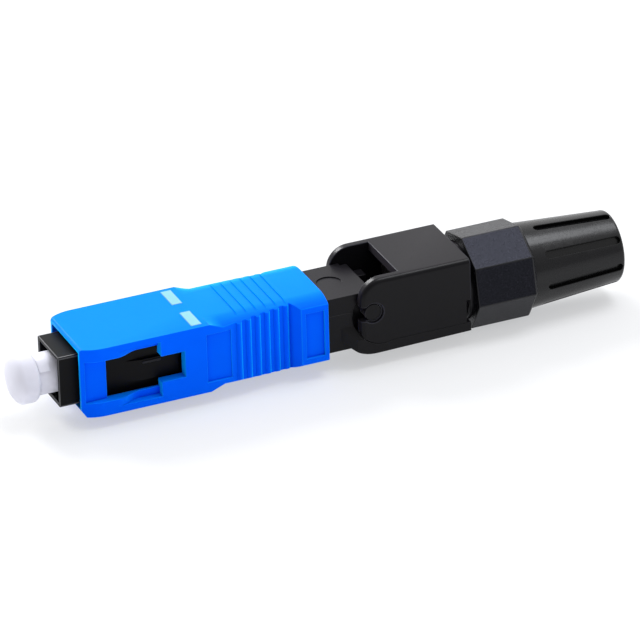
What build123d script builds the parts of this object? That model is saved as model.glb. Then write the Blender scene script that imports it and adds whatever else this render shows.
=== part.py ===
from build123d import *
import math
import os

# Field-fit fibre connector in millimetres. X runs along the ferrule axis from the
# dust cap (-X) to the cable boot (+X), Z is up, and the origin lies on the ferrule
# axis in the front plane of the outer housing.

os.makedirs("parts", exist_ok=True)

# Ferrule, fibre stub and dust cap
FERRULE_RADIUS = 1.25
FERRULE_TIP_X = -3.6
FERRULE_LENGTH = 10.8
FERRULE_CHAMFER = 0.3
FERRULE_TRAVEL = 1.0
STUB_RADIUS = 0.0625
CAP_TIP_X = -6.02
CAP_HEAD_LENGTH = 2.57
CAP_HEAD_RADIUS = 2.6
CAP_BACK_ROUNDING = 0.58
CAP_NOSE_LENGTH = 1.11
CAP_TIP_RADIUS = 0.37
CAP_SLEEVE_RADIUS = 2.06
CAP_SLEEVE_ROOT = 0.1
CAP_WEB_GAP = 0.1
CAP_TIP_GAP = 0.15
CAP_BORE_GAP = 0.02
CAP_PAD_HEIGHT = 0.14
CAP_PAD_LENGTH = 1.15
CAP_PAD_ANGLE = 131.0
CAP_PAD_SPAN = 38.0

# Plug frame
FRAME_FRONT_X = -1.8
FRAME_REAR_X = 19.0
HOLDER_CLEARANCE = 0.14
FRAME_WALL = 0.39
FRAME_EDGE = 0.16
WEB_BEFORE_FERRULE_END = 2.6
WEB_THICKNESS = 0.8
WEB_BORE_RADIUS = 1.5
CATCH_START_X = 5.1
CATCH_FULL_X = 6.6
CATCH_END_X = 10.5
CATCH_TOP_Z = 0.75
CATCH_BOTTOM_Z = -1.45
CATCH_HEIGHT = 0.37

# Outer housing
HOUSING_LENGTH = 25.9
HOUSING_SIDE_WALL = 1.1
HOUSING_ROOF = 0.5
NOSE_LENGTH = 2.4
NOSE_INSET = 0.75
NOSE_MIDDLE_X = 1.0
NOSE_MIDDLE_INSET = 0.23
NOSE_CHIN_RUN = 0.45
NOSE_CHIN_RISE = 0.7
NOSE_BROW = 0.2
FRONT_BLOCK_FROM_REAR = 12.6
REAR_BLOCK_FROM_REAR = 11.1
CROWN_INSET = 2.0
CROWN_RADIUS = 3.6
TAPER_START_FROM_REAR = 11.3
TAPER_END_FROM_REAR = 3.75
TAPER_DEPTH = 1.0
FLANGE_FROM_REAR = 2.9
RIDGE_COUNT = 6
RIDGE_FIRST_FROM_REAR = 9.4
RIDGE_PITCH = 1.045
RIDGE_WIDTH = 0.62
RIDGE_HEIGHT = 0.25
GROOVE_FIRST_FROM_REAR = 9.3
GROOVE_WIDTH = 0.18
GROOVE_DEPTH = 0.15
PANEL_FROM_REAR = 12.9
PANEL_LENGTH = 2.6
PANEL_RIM = 1.1
PANEL_DEPTH = 0.25
FLANGE_PANEL_FROM_REAR = 2.4
FLANGE_PANEL_LENGTH = 1.95
FLANGE_PANEL_RIM = 1.25
FRAME_SIDE_GAP = 0.67
CAVITY_FRONT_END_X = 12.5
FRAME_REAR_GAP = 0.19
FRAME_TOP_GAP = 0.47
CAVITY_REAR_FROM_REAR = 2.7
FLANGE_WALL = 0.85
FLANGE_ROOF = 0.55
WINDOW_START_X = 2.7
WINDOW_END_X = 8.2
WINDOW_TOP_SILL = 1.4
WINDOW_BOTTOM_SILL = 1.55
RELIEF_START_X = 3.6
RELIEF_FULL_X = 6.2
RELIEF_SILL = 0.75
RELIEF_DEPTH = 0.8
SLOT_END_X = 10.7
SLOT_HALF_HEIGHT = 1.4
CHANNEL_START_X = 0.42
CHANNEL_DEPTH = 0.7
KEY_START_X = 1.6
KEY_LENGTH = 10.4
KEY_WIDTH = 2.0
KEY_HEIGHT = 1.2
KEY_RAMP = 0.6
MARK_START_X = 11.67
MARK_LENGTH = 1.05
MARK_INNER_Y = 0.94
MARK_WIDTH = 3.01
MARK_DEPTH = 0.08
MARK_PROUD = 0.02

# Spring and ferrule holder
HOLDER_FLANGE_LIP = 0.2
HOLDER_FLANGE_LENGTH = 1.6
HOLDER_TUBE_WALL = 0.3
HOLDER_LENGTH = 5.6
HOLDER_PASSAGE_RADIUS = 0.3
SPRING_WIRE_RADIUS = 0.15
SPRING_CLEARANCE = 0.1
SPRING_TURNS = 5
SEAT_GAP = 0.02

# Splice
SPLICE_AFTER_FERRULE = 0.8
SPLICE_TO_FUNNEL = 2.5
SPLICE_RADIUS = 1.45
SPLICE_FLAT_AFTER_HOLDER = 0.2
SPLICE_LID_SPLIT_AFTER_STUB = 0.3
SPLICE_LID_GAP = 0.1
STUB_END_AFTER_HOLDER = 5.0
CLIP_START_AFTER_HOLDER = 1.0
CLIP_END_MARGIN = 1.0
CLIP_WALL = 0.24
CLIP_SLOT_WIDTH = 1.0
FUNNEL_START_BEHIND = -1.4
FUNNEL_LENGTH = 2.5
FUNNEL_RADIUS = 1.4
FUNNEL_MOUTH_RADIUS = 1.1
FUNNEL_EXIT_RADIUS = 0.25

# Main body
BARREL_START_AFTER_HOLDER = 0.5
BARREL_CLEARANCE = 0.1
BARREL_FIT = 0.01
COLLAR_STEP = 0.03
NECK_START_BEHIND = -1.0
NECK_SIDE_GAP = 0.18
NECK_BOTTOM_GAP = 0.15
NECK_TOP_GAP = 0.28
NECK_END_BEHIND = 5.15
FLANK_RELIEF = 0.05
FLANK_LINE_Z = 1.0
DECK_DISC_BEHIND = 2.0
DECK_DISC_RADIUS = 1.3
DECK_DISC_DEPTH = 0.1
BODY_OVERHANG = 1.03
SHOULDER_START_BEHIND = 1.7
SHOULDER_FULL_BEHIND = 3.0
SHOULDER_TOP_Z = -0.55
SHOULDER_SIDE_Z = -1.75
CHIN_CURVE = ((0.0, 1.61), (0.55, 1.11), (1.18, 0.64), (2.02, 0.21), (3.63, 0.0))
POCKET_BEHIND = 5.82
POCKET_Z = 0.3
POCKET_RADIUS = 2.89
POCKET_INSET = 0.47
TRAY_TOP_Z = -2.45
TRAY_BOTTOM_Z = -3.56
TRAY_REAR_BOTTOM_Z = -3.4
TRAY_END_BEHIND = 15.2
CHEEK_END_BEHIND = 6.7
CHEEK_TOP_Z = 1.95
RAIL_INSET = 0.12
RAIL_TOP_Z = 0.6
CABLE_HALF_WIDTH = 1.65
CABLE_FLOOR_Z = -1.05
FIBRE_PASSAGE_RADIUS = 0.6
RAIL_END_BEHIND = 14.1
SPIGOT_NECK_RADIUS = 3.3
SPIGOT_START_BEHIND = 15.35
SPIGOT_END_BEHIND = 21.1
SPIGOT_RADIUS = 3.9
SPIGOT_BORE_RADIUS = 3.1
SPIGOT_BORE_LEAD = 0.35
JAW_START_BEHIND = 7.5
JAW_PITCH = 0.8
JAW_TEETH = 7
JAW_HALF_WIDTH = 1.5
JAW_PLATE = 0.3
JAW_TOOTH = 0.35
UPPER_JAW_START_BEHIND = 8.3
UPPER_JAW_TIP_Z = 1.1

# Flip cover
COVER_PROUD = 0.02
COVER_TOP_Z = 4.46
COVER_FRONT_BEHIND = 3.45
COVER_ROOF_START_BEHIND = 7.8
COVER_END_BEHIND = 15.23
COVER_LOWER_END_BEHIND = 14.73
COVER_BOTTOM_Z = -2.4
COVER_NECK_GAP = 0.03
COVER_CEILING_Z = 3.5
COVER_CORNER_RADIUS = 2.3
COVER_RIM_RADIUS = 0.5
CHIN_GAP = 0.06
PIVOT_BEHIND = 4.8
PIVOT_Z = 0.93
PIN_RADIUS = 0.85
PIN_CLEARANCE = 0.05
PIN_INSET = 0.22
PIVOT_RECESS_RADIUS = 1.07
PIVOT_RECESS_DEPTH = 0.25
PIVOT_SLOT_WIDTH = 1.5

# Tail nut and cable collet
NUT_START_BEHIND = 15.93
NUT_END_BEHIND = 22.46
NUT_CORNER_RADIUS = 5.04
NUT_CORNER_ANGLE = 9.3
NUT_SIDES = 8
NUT_CHAMFER = 0.3
NUT_THREAD_RADIUS = 3.95
NUT_THREAD_END_BEHIND = 21.6
BOOT_START_RADIUS = 4.39
BOOT_MIDDLE_BEHIND = 29.6
BOOT_MIDDLE_RADIUS = 3.87
BOOT_END_BEHIND = 32.52
BOOT_END_RADIUS = 3.67
BOOT_BORE_RADIUS = 2.7
BOOT_BORE_END_BEHIND = 31.5
BOOT_EDGE_RADIUS = 0.35
BOOT_MOUTH_WIDTH = 3.6
BOOT_MOUTH_HEIGHT = 2.4
BOOT_GROOVE_START_BEHIND = 23.8
BOOT_GROOVE_END_BEHIND = 32.2
BOOT_GROOVE_WIDTH = 0.78
BOOT_GROOVE_DEPTH = 0.4
COLLET_START_BEHIND = 17.1
COLLET_END_BEHIND = 24.1
COLLET_RADIUS = 2.9
COLLET_BORE_WIDTH = 3.4
COLLET_BORE_HEIGHT = 2.3
COLLET_SLIT_WIDTH = 0.5
COLLET_SLIT_END_BEHIND = 22.6
SEAT_RADIUS = 3.1
CUT_MARGIN = 0.5
PIN_ROOT = 0.5

AXIAL = (0, 90, 0)
FROM_START = (Align.CENTER, Align.CENTER, Align.MIN)
SIDES = (-1, 1)

ferrule_end_x = FERRULE_TIP_X + FERRULE_LENGTH
cap_head_back_x = CAP_TIP_X + CAP_HEAD_LENGTH
cap_nose_height = CAP_HEAD_RADIUS - CAP_TIP_RADIUS
cap_bore_radius = FERRULE_RADIUS + CAP_BORE_GAP
web_front_x = ferrule_end_x - WEB_BEFORE_FERRULE_END
cap_sleeve_end_x = web_front_x - FERRULE_TRAVEL - CAP_WEB_GAP

# Radii and half sizes of the cross-section, each worked out from the one inside it
holder_tube_radius = SPLICE_RADIUS + HOLDER_TUBE_WALL
barrel_bore_radius = holder_tube_radius + BARREL_CLEARANCE
spring_radius = holder_tube_radius + SPRING_CLEARANCE + SPRING_WIRE_RADIUS
holder_flange_radius = spring_radius + HOLDER_FLANGE_LIP
frame_inner_half = holder_flange_radius + HOLDER_CLEARANCE
frame_half = frame_inner_half + FRAME_WALL
barrel_half = frame_inner_half - BARREL_FIT
collar_half = frame_half - COLLAR_STEP
cavity_front_half_width = frame_half + FRAME_SIDE_GAP
cavity_middle_half_width = frame_half + FRAME_REAR_GAP
cavity_half_height = frame_half + FRAME_TOP_GAP
housing_half_width = cavity_front_half_width + HOUSING_SIDE_WALL
housing_half_height = cavity_half_height + HOUSING_ROOF
cavity_rear_half_width = housing_half_width - FLANGE_WALL
cavity_rear_half_height = housing_half_height - FLANGE_ROOF
crown_flat_half = housing_half_width - CROWN_INSET
taper_end_y = housing_half_width - TAPER_DEPTH
panel_half_height = housing_half_height - PANEL_RIM
flange_panel_half_height = housing_half_height - FLANGE_PANEL_RIM
window_top_z = housing_half_height - WINDOW_TOP_SILL
window_bottom_z = WINDOW_BOTTOM_SILL - housing_half_height
relief_half_height = housing_half_height - RELIEF_SILL
neck_half_width = cavity_rear_half_width - NECK_SIDE_GAP
neck_bottom_z = NECK_BOTTOM_GAP - cavity_rear_half_height
neck_top_z = cavity_rear_half_height - NECK_TOP_GAP
body_half_width = neck_half_width + BODY_OVERHANG
pocket_floor_y = neck_half_width - POCKET_INSET
rail_half_width = neck_half_width - RAIL_INSET
cover_half_width = body_half_width + COVER_PROUD
cover_wall_y = neck_half_width + COVER_NECK_GAP
pin_end_y = cover_half_width - PIN_INSET

# Stations along X of the housing's rear half
front_block_end_x = HOUSING_LENGTH - FRONT_BLOCK_FROM_REAR
rear_block_start_x = HOUSING_LENGTH - REAR_BLOCK_FROM_REAR
taper_start_x = HOUSING_LENGTH - TAPER_START_FROM_REAR
taper_end_x = HOUSING_LENGTH - TAPER_END_FROM_REAR
flange_x = HOUSING_LENGTH - FLANGE_FROM_REAR
ridge_first_x = HOUSING_LENGTH - RIDGE_FIRST_FROM_REAR
groove_first_x = HOUSING_LENGTH - GROOVE_FIRST_FROM_REAR
panel_start_x = HOUSING_LENGTH - PANEL_FROM_REAR
flange_panel_start_x = HOUSING_LENGTH - FLANGE_PANEL_FROM_REAR
cavity_rear_start_x = HOUSING_LENGTH - CAVITY_REAR_FROM_REAR

# Stations along X of everything behind the housing
neck_start_x = HOUSING_LENGTH + NECK_START_BEHIND
neck_end_x = HOUSING_LENGTH + NECK_END_BEHIND
deck_disc_x = HOUSING_LENGTH + DECK_DISC_BEHIND
shoulder_start_x = HOUSING_LENGTH + SHOULDER_START_BEHIND
shoulder_full_x = HOUSING_LENGTH + SHOULDER_FULL_BEHIND
pocket_x = HOUSING_LENGTH + POCKET_BEHIND
tray_end_x = HOUSING_LENGTH + TRAY_END_BEHIND
cheek_end_x = HOUSING_LENGTH + CHEEK_END_BEHIND
rail_end_x = HOUSING_LENGTH + RAIL_END_BEHIND
spigot_start_x = HOUSING_LENGTH + SPIGOT_START_BEHIND
spigot_end_x = HOUSING_LENGTH + SPIGOT_END_BEHIND
jaw_start_x = HOUSING_LENGTH + JAW_START_BEHIND
upper_jaw_start_x = HOUSING_LENGTH + UPPER_JAW_START_BEHIND
cover_front_x = HOUSING_LENGTH + COVER_FRONT_BEHIND
cover_roof_start_x = HOUSING_LENGTH + COVER_ROOF_START_BEHIND
cover_end_x = HOUSING_LENGTH + COVER_END_BEHIND
cover_lower_end_x = HOUSING_LENGTH + COVER_LOWER_END_BEHIND
pivot_x = HOUSING_LENGTH + PIVOT_BEHIND
nut_start_x = HOUSING_LENGTH + NUT_START_BEHIND
nut_end_x = HOUSING_LENGTH + NUT_END_BEHIND
nut_thread_end_x = HOUSING_LENGTH + NUT_THREAD_END_BEHIND
boot_middle_x = HOUSING_LENGTH + BOOT_MIDDLE_BEHIND
boot_end_x = HOUSING_LENGTH + BOOT_END_BEHIND
boot_bore_end_x = HOUSING_LENGTH + BOOT_BORE_END_BEHIND
boot_groove_start_x = HOUSING_LENGTH + BOOT_GROOVE_START_BEHIND
boot_groove_end_x = HOUSING_LENGTH + BOOT_GROOVE_END_BEHIND
collet_start_x = HOUSING_LENGTH + COLLET_START_BEHIND
collet_end_x = HOUSING_LENGTH + COLLET_END_BEHIND
collet_slit_end_x = HOUSING_LENGTH + COLLET_SLIT_END_BEHIND
funnel_start_x = HOUSING_LENGTH + FUNNEL_START_BEHIND

holder_start_x = web_front_x + WEB_THICKNESS
holder_flange_end_x = holder_start_x + HOLDER_FLANGE_LENGTH
holder_end_x = holder_start_x + HOLDER_LENGTH
barrel_start_x = holder_end_x + BARREL_START_AFTER_HOLDER
splice_start_x = ferrule_end_x + SPLICE_AFTER_FERRULE
splice_flat_start_x = holder_end_x + SPLICE_FLAT_AFTER_HOLDER
stub_end_x = holder_end_x + STUB_END_AFTER_HOLDER
splice_lid_split_x = stub_end_x + SPLICE_LID_SPLIT_AFTER_STUB
clip_start_x = holder_end_x + CLIP_START_AFTER_HOLDER
splice_end_x = funnel_start_x - SPLICE_TO_FUNNEL
clip_end_x = splice_end_x - CLIP_END_MARGIN
groove_centre_offset = math.sqrt(2.0) * STUB_RADIUS


def span_box(x, y, z, mode=Mode.ADD):
    """Add or cut a box given by its limits along X, Y and Z."""
    with Locations(((x[0] + x[1]) / 2, (y[0] + y[1]) / 2, (z[0] + z[1]) / 2)):
        Box(x[1] - x[0], y[1] - y[0], z[1] - z[0], mode=mode)


def axial_rod(radius, start_x, end_x, mode=Mode.ADD):
    """Add or cut a round bar on the ferrule axis."""
    with Locations((start_x, 0, 0)):
        Cylinder(radius, end_x - start_x, rotation=AXIAL, align=FROM_START, mode=mode)


def side_span(side, inner, outer):
    """Return the Y limits of a layer between two distances on one side."""
    return (min(side * inner, side * outer), max(side * inner, side * outer))


def housing_section(shoulder_z, shoulder_mid):
    """Draw the housing cross-section with the given upper corners."""
    mid_y, mid_z = shoulder_mid
    corners = ((1, 1), (1, -1), (-1, -1), (-1, 1))
    with BuildLine() as outline:
        for sign_y, sign_z in corners:
            ThreePointArc(
                (sign_y * crown_flat_half, sign_z * housing_half_height),
                (sign_y * mid_y, sign_z * mid_z),
                (sign_y * housing_half_width, sign_z * shoulder_z),
            )
        for sign in SIDES:
            Line(
                (-crown_flat_half, sign * housing_half_height),
                (crown_flat_half, sign * housing_half_height),
            )
            Line(
                (sign * housing_half_width, -shoulder_z),
                (sign * housing_half_width, shoulder_z),
            )
    make_face(outline.edges())


def taper_y(x):
    """Return the half-width of the tapered grip at a distance along X."""
    share = (x - taper_start_x) / (taper_end_x - taper_start_x)
    return housing_half_width + share * (taper_end_y - housing_half_width)


# One-piece dust cap: a rounded head, and a sleeve that fits over the ferrule
with BuildPart() as dust_cap:
    with BuildSketch(Plane.XZ):
        with BuildLine():
            Line((CAP_TIP_X, 0), (cap_head_back_x, 0))
            Line((cap_head_back_x, 0), (cap_head_back_x, CAP_HEAD_RADIUS - CAP_BACK_ROUNDING))
            RadiusArc(
                (cap_head_back_x, CAP_HEAD_RADIUS - CAP_BACK_ROUNDING),
                (cap_head_back_x - CAP_BACK_ROUNDING, CAP_HEAD_RADIUS),
                -CAP_BACK_ROUNDING,
            )
            Line(
                (cap_head_back_x - CAP_BACK_ROUNDING, CAP_HEAD_RADIUS),
                (CAP_TIP_X + CAP_NOSE_LENGTH, CAP_HEAD_RADIUS),
            )
            EllipticalCenterArc(
                (CAP_TIP_X + CAP_NOSE_LENGTH, CAP_TIP_RADIUS),
                CAP_NOSE_LENGTH,
                cap_nose_height,
                start_angle=90,
                arc_size=90,
            )
            Line((CAP_TIP_X, CAP_TIP_RADIUS), (CAP_TIP_X, 0))
        make_face()
    revolve(axis=Axis.X)
    axial_rod(CAP_SLEEVE_RADIUS, cap_head_back_x - CAP_SLEEVE_ROOT, cap_sleeve_end_x)
    for turn in (0, 180):
        with BuildSketch(Plane.YZ.offset(cap_head_back_x)):
            with BuildLine():
                pad_start = CAP_PAD_ANGLE + turn - CAP_PAD_SPAN / 2
                pad_outer = CAP_SLEEVE_RADIUS + CAP_PAD_HEIGHT
                arc = CenterArc((0, 0), pad_outer, pad_start, CAP_PAD_SPAN)
                Line(arc @ 1, (0, 0))
                Line((0, 0), arc @ 0)
            make_face()
        extrude(amount=CAP_PAD_LENGTH)
    axial_rod(cap_bore_radius, FERRULE_TIP_X - CAP_TIP_GAP, cap_sleeve_end_x, Mode.SUBTRACT)
dust_cap.part.label = "dust_cap"
export_step(dust_cap.part, "parts/dust_cap.step")

# Moulded shell gripped by hand, with a window on each side and a key underneath
outside_y = housing_half_width + CUT_MARGIN
with BuildPart() as outer_housing:
    with BuildSketch(Plane.YZ):
        Rectangle(2 * housing_half_width, 2 * housing_half_height)
    extrude(amount=front_block_end_x)
    crown_z = housing_half_height - CROWN_RADIUS
    crown_run = housing_half_width - crown_flat_half
    shoulder_z = crown_z + math.sqrt(CROWN_RADIUS**2 - crown_run**2)
    half_turn = math.asin(crown_run / CROWN_RADIUS) / 2
    crown_mid = (
        crown_flat_half + CROWN_RADIUS * math.sin(half_turn),
        crown_z + CROWN_RADIUS * math.cos(half_turn),
    )
    slack = 0.001
    square_mid = ((crown_flat_half + housing_half_width) / 2, housing_half_height)
    with BuildSketch(Plane.YZ.offset(front_block_end_x)):
        housing_section(housing_half_height - slack, square_mid)
    with BuildSketch(Plane.YZ.offset(rear_block_start_x)):
        housing_section(shoulder_z, crown_mid)
    loft(ruled=True)
    with BuildSketch(Plane.YZ.offset(rear_block_start_x)):
        housing_section(shoulder_z, crown_mid)
    extrude(amount=HOUSING_LENGTH - rear_block_start_x)
    with BuildSketch(Plane.XY.offset(-housing_half_height - KEY_HEIGHT)):
        with Locations((KEY_START_X + KEY_LENGTH / 2, 0)):
            Rectangle(KEY_LENGTH, KEY_WIDTH)
    extrude(amount=KEY_HEIGHT + 0.1)
    with BuildSketch(Plane.XZ.offset(-outside_y)):
        with BuildLine():
            Polyline(
                (0, NOSE_CHIN_RISE - housing_half_height),
                (NOSE_CHIN_RUN, -housing_half_height),
                (NOSE_CHIN_RUN, -housing_half_height - CUT_MARGIN),
                (-CUT_MARGIN, -housing_half_height - CUT_MARGIN),
                (-CUT_MARGIN, NOSE_CHIN_RISE - housing_half_height),
                close=True,
            )
        make_face()
        with BuildLine():
            Polyline(
                (0, housing_half_height - NOSE_BROW),
                (NOSE_BROW, housing_half_height),
                (NOSE_BROW, housing_half_height + CUT_MARGIN),
                (-CUT_MARGIN, housing_half_height + CUT_MARGIN),
                (-CUT_MARGIN, housing_half_height - NOSE_BROW),
                close=True,
            )
        make_face()
    extrude(amount=2 * outside_y, mode=Mode.SUBTRACT)
    for side in SIDES:
        with BuildSketch(Plane.XY.offset(-housing_half_height)):
            with BuildLine():
                ThreePointArc(
                    (0, side * (housing_half_width - NOSE_INSET)),
                    (NOSE_MIDDLE_X, side * (housing_half_width - NOSE_MIDDLE_INSET)),
                    (NOSE_LENGTH, side * housing_half_width),
                )
                Polyline(
                    (NOSE_LENGTH, side * housing_half_width),
                    (NOSE_LENGTH, side * outside_y),
                    (-CUT_MARGIN, side * outside_y),
                    (-CUT_MARGIN, side * (housing_half_width - NOSE_INSET)),
                    (0, side * (housing_half_width - NOSE_INSET)),
                )
            make_face()
        extrude(amount=2 * housing_half_height, mode=Mode.SUBTRACT)
        with BuildSketch(Plane.XY.offset(-housing_half_height)):
            with BuildLine():
                edge_x = taper_start_x
                for index in range(RIDGE_COUNT):
                    ridge_x = ridge_first_x + index * RIDGE_PITCH
                    foot_x = ridge_x - RIDGE_WIDTH / 2
                    heel_x = ridge_x + RIDGE_WIDTH / 2
                    Line((edge_x, side * taper_y(edge_x)), (foot_x, side * taper_y(foot_x)))
                    ThreePointArc(
                        (foot_x, side * taper_y(foot_x)),
                        (ridge_x, side * (taper_y(ridge_x) + RIDGE_HEIGHT)),
                        (heel_x, side * taper_y(heel_x)),
                    )
                    edge_x = heel_x
                Polyline(
                    (edge_x, side * taper_y(edge_x)),
                    (taper_end_x, side * taper_end_y),
                    (flange_x, side * housing_half_width),
                    (flange_x, side * outside_y),
                    (taper_start_x, side * outside_y),
                    (taper_start_x, side * housing_half_width),
                )
            make_face()
        extrude(amount=2 * housing_half_height, mode=Mode.SUBTRACT)
        panel_y = side_span(side, housing_half_width - PANEL_DEPTH, outside_y)
        span_box(
            (panel_start_x, panel_start_x + PANEL_LENGTH),
            panel_y,
            (-panel_half_height, panel_half_height),
            Mode.SUBTRACT,
        )
        span_box(
            (flange_panel_start_x, flange_panel_start_x + FLANGE_PANEL_LENGTH),
            panel_y,
            (-flange_panel_half_height, flange_panel_half_height),
            Mode.SUBTRACT,
        )
        relief_y = housing_half_width - RELIEF_DEPTH
        with BuildSketch(Plane.XY.offset(-relief_half_height)):
            with BuildLine():
                Spline(
                    (RELIEF_START_X, side * housing_half_width),
                    (RELIEF_FULL_X, side * relief_y),
                    tangents=[(1, 0), (1, 0)],
                )
                Polyline(
                    (RELIEF_FULL_X, side * relief_y),
                    (WINDOW_END_X, side * relief_y),
                    (WINDOW_END_X, side * outside_y),
                    (RELIEF_START_X, side * outside_y),
                    (RELIEF_START_X, side * housing_half_width),
                )
            make_face()
        extrude(amount=2 * relief_half_height, mode=Mode.SUBTRACT)
        wall_y = side_span(side, cavity_middle_half_width, outside_y)
        span_box(
            (WINDOW_START_X, WINDOW_END_X),
            wall_y,
            (window_bottom_z, window_top_z),
            Mode.SUBTRACT,
        )
        span_box(
            (WINDOW_END_X - 0.1, SLOT_END_X),
            wall_y,
            (-SLOT_HALF_HEIGHT, SLOT_HALF_HEIGHT),
            Mode.SUBTRACT,
        )
        span_box(
            (CHANNEL_START_X, WINDOW_START_X + 0.1),
            side_span(side, housing_half_width - CHANNEL_DEPTH, outside_y),
            (window_bottom_z, window_top_z),
            Mode.SUBTRACT,
        )
        span_box(
            (MARK_START_X, MARK_START_X + MARK_LENGTH),
            side_span(side, MARK_INNER_Y, MARK_INNER_Y + MARK_WIDTH),
            (housing_half_height - MARK_DEPTH, housing_half_height + CUT_MARGIN),
            Mode.SUBTRACT,
        )
        groove_floor_z = housing_half_height - GROOVE_DEPTH
        for index in range(RIDGE_COUNT):
            groove_x = groove_first_x + index * RIDGE_PITCH
            span_box(
                (groove_x - GROOVE_WIDTH / 2, groove_x + GROOVE_WIDTH / 2),
                (-housing_half_width, housing_half_width),
                (groove_floor_z, housing_half_height + CUT_MARGIN),
                Mode.SUBTRACT,
            )
    cavities = (
        (-CUT_MARGIN, CAVITY_FRONT_END_X, cavity_front_half_width, cavity_half_height),
        (CAVITY_FRONT_END_X - 0.1, cavity_rear_start_x, cavity_middle_half_width, cavity_half_height),
        (cavity_rear_start_x, HOUSING_LENGTH + CUT_MARGIN, cavity_rear_half_width, cavity_rear_half_height),
    )
    for start_x, end_x, half_width, half_height in cavities:
        span_box((start_x, end_x), (-half_width, half_width), (-half_height, half_height), Mode.SUBTRACT)
    key_edges = outer_housing.edges().filter_by(Axis.Y).filter_by_position(
        Axis.Z, -housing_half_height - KEY_HEIGHT - 0.01, -housing_half_height - KEY_HEIGHT + 0.01
    )
    chamfer(key_edges, length=KEY_RAMP)
outer_housing.part.label = "outer_housing"
export_step(outer_housing.part, "parts/outer_housing.step")

# White depth marks inlaid in the top of the housing
mark_names = {-1: "position_mark_near", 1: "position_mark_far"}
for side in SIDES:
    with BuildPart() as position_mark:
        span_box(
            (MARK_START_X, MARK_START_X + MARK_LENGTH),
            side_span(side, MARK_INNER_Y, MARK_INNER_Y + MARK_WIDTH),
            (housing_half_height - MARK_DEPTH, housing_half_height + MARK_PROUD),
        )
    position_mark.part.label = mark_names[side]
    export_step(position_mark.part, f"parts/{mark_names[side]}.step")

# Square tube around the ferrule, with a catch in each housing window
with BuildPart() as plug_frame:
    span_box((FRAME_FRONT_X, FRAME_REAR_X), (-frame_half, frame_half), (-frame_half, frame_half))
    chamfer(plug_frame.edges().filter_by(Axis.X), length=FRAME_EDGE)
    for side in SIDES:
        with BuildSketch(Plane.XY.offset(CATCH_BOTTOM_Z)):
            with BuildLine():
                Polyline(
                    (CATCH_START_X, side * frame_half),
                    (CATCH_FULL_X, side * (frame_half + CATCH_HEIGHT)),
                    (CATCH_END_X, side * (frame_half + CATCH_HEIGHT)),
                    (CATCH_END_X, side * frame_inner_half),
                    (CATCH_START_X, side * frame_inner_half),
                    close=True,
                )
            make_face()
        extrude(amount=CATCH_TOP_Z - CATCH_BOTTOM_Z)
    span_box(
        (FRAME_FRONT_X, web_front_x),
        (-frame_inner_half, frame_inner_half),
        (-frame_inner_half, frame_inner_half),
        Mode.SUBTRACT,
    )
    span_box(
        (holder_start_x, FRAME_REAR_X),
        (-frame_inner_half, frame_inner_half),
        (-frame_inner_half, frame_inner_half),
        Mode.SUBTRACT,
    )
    axial_rod(WEB_BORE_RADIUS, web_front_x - 0.1, holder_start_x + 0.1, Mode.SUBTRACT)
plug_frame.part.label = "plug_frame"
export_step(plug_frame.part, "parts/plug_frame.step")

# Ceramic ferrule with its fibre stub
with BuildPart() as ferrule:
    axial_rod(FERRULE_RADIUS, FERRULE_TIP_X, ferrule_end_x)
    chamfer(ferrule.edges().filter_by(GeomType.CIRCLE).sort_by(Axis.X)[0], length=FERRULE_CHAMFER)
    axial_rod(STUB_RADIUS, FERRULE_TIP_X - 0.1, ferrule_end_x + 0.1, Mode.SUBTRACT)
ferrule.part.label = "ferrule"
export_step(ferrule.part, "parts/ferrule.step")

with BuildPart() as fibre_stub:
    axial_rod(STUB_RADIUS, FERRULE_TIP_X, stub_end_x)
fibre_stub.part.label = "fibre_stub"
export_step(fibre_stub.part, "parts/fibre_stub.step")

# Flanged sleeve that carries the ferrule and the splice
with BuildPart() as ferrule_holder:
    axial_rod(holder_flange_radius, holder_start_x, holder_flange_end_x)
    axial_rod(holder_tube_radius, holder_start_x, holder_end_x)
    axial_rod(FERRULE_RADIUS, holder_start_x - 0.1, ferrule_end_x, Mode.SUBTRACT)
    axial_rod(HOLDER_PASSAGE_RADIUS, ferrule_end_x - 0.1, splice_start_x + 0.1, Mode.SUBTRACT)
    axial_rod(SPLICE_RADIUS, splice_start_x, holder_end_x + 0.1, Mode.SUBTRACT)
ferrule_holder.part.label = "ferrule_holder"
export_step(ferrule_holder.part, "parts/ferrule_holder.step")

# Coil spring between the holder flange and the barrel
spring_start_x = holder_flange_end_x + SPRING_WIRE_RADIUS + SEAT_GAP
spring_end_x = barrel_start_x - SPRING_WIRE_RADIUS - SEAT_GAP
spring_length = spring_end_x - spring_start_x
with BuildPart() as ferrule_spring:
    with BuildLine() as coil:
        Helix(
            pitch=spring_length / SPRING_TURNS,
            height=spring_length,
            radius=spring_radius,
            center=(spring_start_x, 0, 0),
            direction=(1, 0, 0),
        )
    with BuildSketch(Plane(origin=coil.line @ 0, z_dir=coil.line % 0)):
        Circle(SPRING_WIRE_RADIUS)
    sweep(path=coil.line, is_frenet=True)
ferrule_spring.part.label = "ferrule_spring"
export_step(ferrule_spring.part, "parts/ferrule_spring.step")

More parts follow.
